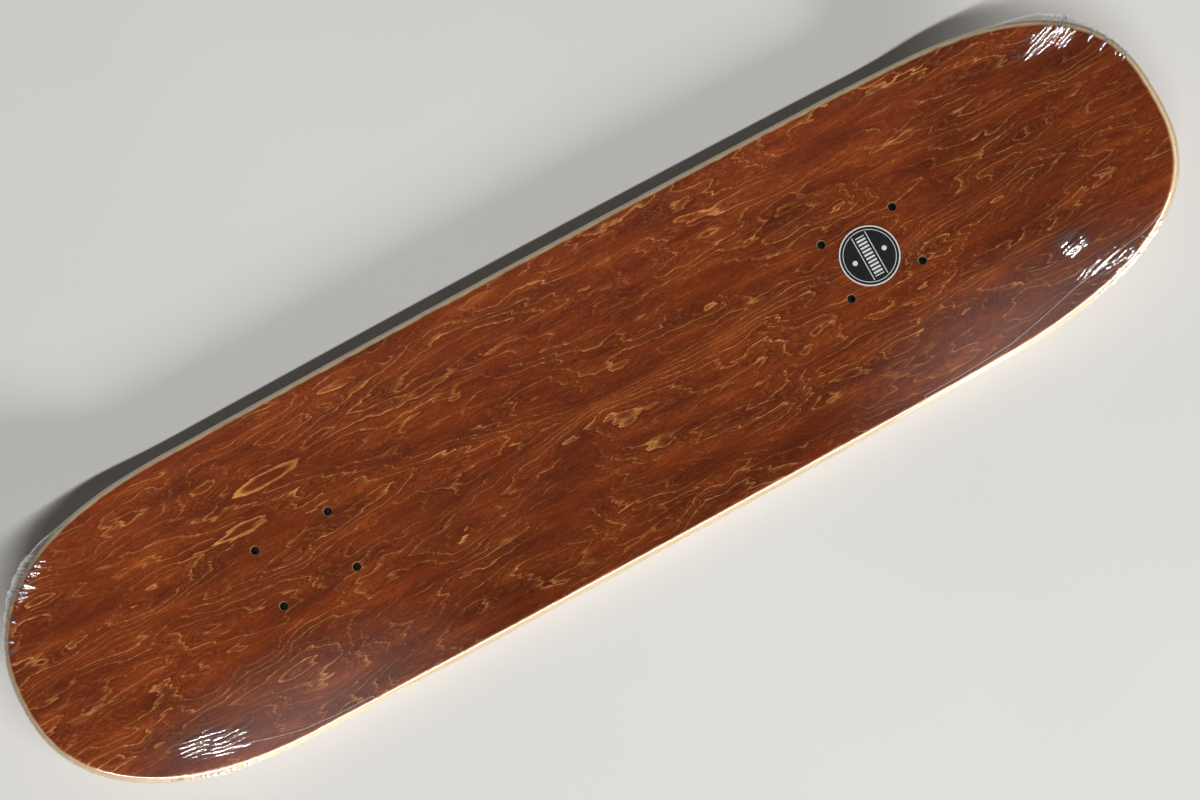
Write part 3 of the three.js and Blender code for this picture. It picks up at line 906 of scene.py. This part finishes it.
def weld_path():
    """Points down the middle of the weld: over the top by the tail, round to the -Y side of the rail
    between the trucks, and back over the top to the nose, at 1 mm steps."""
    top_s, top_in = np.array(WELD_TAIL + WELD_NOSE, float).T
    side_s, side_degrees = np.array(WELD_SIDE, float).T
    s = np.arange(WELD_TAIL[0][0], WELD_NOSE[-1][0] + 1.0)
    inward = np.interp(s, top_s, top_in)
    degrees = np.interp(s, side_s, side_degrees, left=90, right=90)
    on_side = (s > side_s[0]) & (s < side_s[-1])
    angle = np.radians(np.where(on_side, degrees, 90))
    radius = EDGE_RADIUS + UPPER_OFFSET + FILM_THICKNESS + BEAD_RADIUS * 0.4
    edge_y = -half_width(s)[0]
    y = edge_y + np.where(on_side, EDGE_RADIUS - radius * np.cos(angle), inward)
    share = 1 - np.maximum(inward - EDGE_RADIUS, 0) / np.abs(edge_y)
    over_spine = rim_height(np.sign(s) * np.minimum(np.abs(s), per_end(s, "bend_end")), np.abs(edge_y), 0, 1)
    rim = concave_height(s, edge_y + EDGE_RADIUS)
    top = over_spine + (rim - over_spine) * share**2 + gathered(s, y)[0] + radius - EDGE_RADIUS
    side = concave_height(s, edge_y) - EDGE_RADIUS + radius * np.sin(angle)
    return board_point(s, y, np.where(on_side, side, top))


def end_highlight_path(ends):
    """Points down the middle of the white line round one end, a painted highlight along the film's fold at
    the edge: from one place (s, y) near the outline to another, on the film's outer side, at a fixed angle
    above the horizontal and about 1 mm steps."""
    outline = Outline(spacing=1.0)
    first, last = (int(np.argmin(np.hypot(outline.s - s, outline.y - y))) for s, y in ends)
    around = np.arange(first, last if last > first else last + outline.count + 1) % outline.count
    angle = math.radians(END_HIGHLIGHT_DEGREES)
    rise, _ = stand_off(outline, inward_at(angle), 1.0)
    radius = EDGE_RADIUS + UPPER_OFFSET + FILM_THICKNESS + rise
    s, y, height, *_ = round_edge(outline, angle, radius, EDGE_RADIUS)
    return board_point(s, y, height)[around]


def make_weld_and_highlights():
    """The welded seam of the film along the -Y side: a fine bead where it has melted and set again, which
    makes it milky. The beads round both ends are painted highlights: the same milky white, drawn along the
    film's fold at the edge."""
    material, tree, surface = new_material("milky_weld_and_painted_highlight")
    place = add(tree, "ShaderNodeTexCoord", out="Object")
    grains = add(tree, "ShaderNodeTexNoise", {"Vector": place, "Scale": 900.0, "Detail": 2.0})
    tone = add(tree, "ShaderNodeValToRGB", {"Fac": grains}, [(0.35, "#b3a89f"), (0.65, "#f0ebe6")])
    bead = add(tree, "ShaderNodeBsdfPrincipled", {"Base Color": tone, "Roughness": 0.4, "IOR": 1.5})
    tree.links.new(bead, surface)
    # The nose and tail lines are painted highlights along the film's fold at the edge
    paths = {
        "wrap_weld": weld_path(),
        "wrap_nose_painted_highlight": end_highlight_path(NOSE_EDGE_HIGHLIGHT),
        "wrap_tail_painted_highlight": end_highlight_path(TAIL_EDGE_HIGHLIGHT),
    }
    for name, path in paths.items():
        piece = add_piece(name, tube_along(name, path, BEAD_RADIUS * MM), material)
        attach(piece, "root")


# ---------------------------------------------------------------- camera, light and floor


def make_camera():
    """Looks almost straight down, leaning a little towards -X and -Y and turned so that the board lies
    from lower left to upper right."""
    lean_y, lean_x = math.radians(CAMERA_LEAN_Y), math.radians(CAMERA_LEAN_X)
    roll = math.radians(CAMERA_ROLL)
    aim = Vector(((CAMERA_AIM[0] + SHIFT_X) * MM, CAMERA_AIM[1] * MM, TOP_FACE_Z * MM))
    above = math.cos(lean_x)
    toward = Vector((-math.sin(lean_x), -math.sin(lean_y) * above, math.cos(lean_y) * above))
    along = (Vector((1, 0, 0)) - toward.x * toward).normalized()
    across = toward.cross(along)
    right = math.cos(roll) * along - math.sin(roll) * across
    up = math.sin(roll) * along + math.cos(roll) * across
    lens = bpy.data.cameras.new("camera")
    lens.sensor_width = SENSOR_WIDTH
    lens.lens = LENS_LENGTH
    lens.clip_start = 0.05
    place = Matrix((right, up, toward)).transposed().to_4x4()
    place.translation = aim + toward * CAMERA_DISTANCE
    camera = put_in_scene("camera", lens)
    camera.matrix_world = place
    bpy.context.scene.camera = camera


def make_floor():
    """A wide sheet of pale matt paper."""
    mesh = bpy.data.meshes.new("studio_floor")
    half, low = FLOOR_HALF, FLOOR_Z
    corners = [(-half, -half, low), (half, -half, low), (half, half, low), (-half, half, low)]
    mesh.from_pydata(corners, [], [(0, 1, 2, 3)])
    material, tree, surface = new_material("pale_studio_paper")
    mottle = add(tree, "ShaderNodeTexNoise", {"Scale": 40.0, "Detail": 2.0})
    tone = add(tree, "ShaderNodeValToRGB", {"Fac": mottle}, [(0.3, "#d9d8d5"), (0.7, "#dddcd9")])
    paper = add(tree, "ShaderNodeBsdfPrincipled", {"Base Color": tone, "Roughness": 0.9})
    tree.links.new(paper, surface)
    mesh.materials.append(material)
    floor = put_in_scene("studio_floor", mesh)


def make_surround():
    """A surround that is pale all round and dark overhead, as a room with pale walls."""
    world = bpy.data.worlds.new("studio_surround")
    world.use_nodes = True
    tree = world.node_tree
    facing = add(tree, "ShaderNodeTexCoord", out="Generated")
    height = add(tree, "ShaderNodeSeparateXYZ", {"Vector": facing}, out="Z")
    stops = [(0.0, "#a3a3a4"), (0.3, "#8e8e8f"), (0.62, "#2d2d2e"), (1.0, "#242424")]
    walls = add(tree, "ShaderNodeValToRGB", {"Fac": height}, stops)
    tree.links.new(walls, tree.nodes["Background"].inputs["Color"])
    bpy.context.scene.world = world


def make_lights():
    """The key skims in low from the -Y side, so the rail there is far brighter than the top. The strip
    high over that side, longer than the board, is what glints in the folds of the film at both ends."""
    key = bpy.data.lights.new("key", "SUN")
    key.energy = KEY_STRENGTH
    key.angle = math.radians(KEY_SPREAD_DEGREES)
    strip = bpy.data.lights.new("strip", "AREA")
    strip.shape = "RECTANGLE"
    strip.size, strip.size_y = STRIP_SIZE
    strip.energy = STRIP_WATTS
    key_lamp = put_in_scene("key", key)
    key_lamp.rotation_euler = Vector(KEY_FROM).to_track_quat("Z", "Y").to_euler()
    strip_lamp = put_in_scene("strip", strip)
    strip_lamp.location = STRIP_PLACE
    aim = Vector(STRIP_AIM) - Vector(STRIP_PLACE)
    strip_lamp.rotation_euler = aim.to_track_quat("-Z", "Y").to_euler()


bpy.context.scene.view_settings.view_transform = "Standard"
make_camera()
make_plies()
make_label()
make_film(shrink_film())
make_weld_and_highlights()
make_floor()
make_surround()
make_lights()
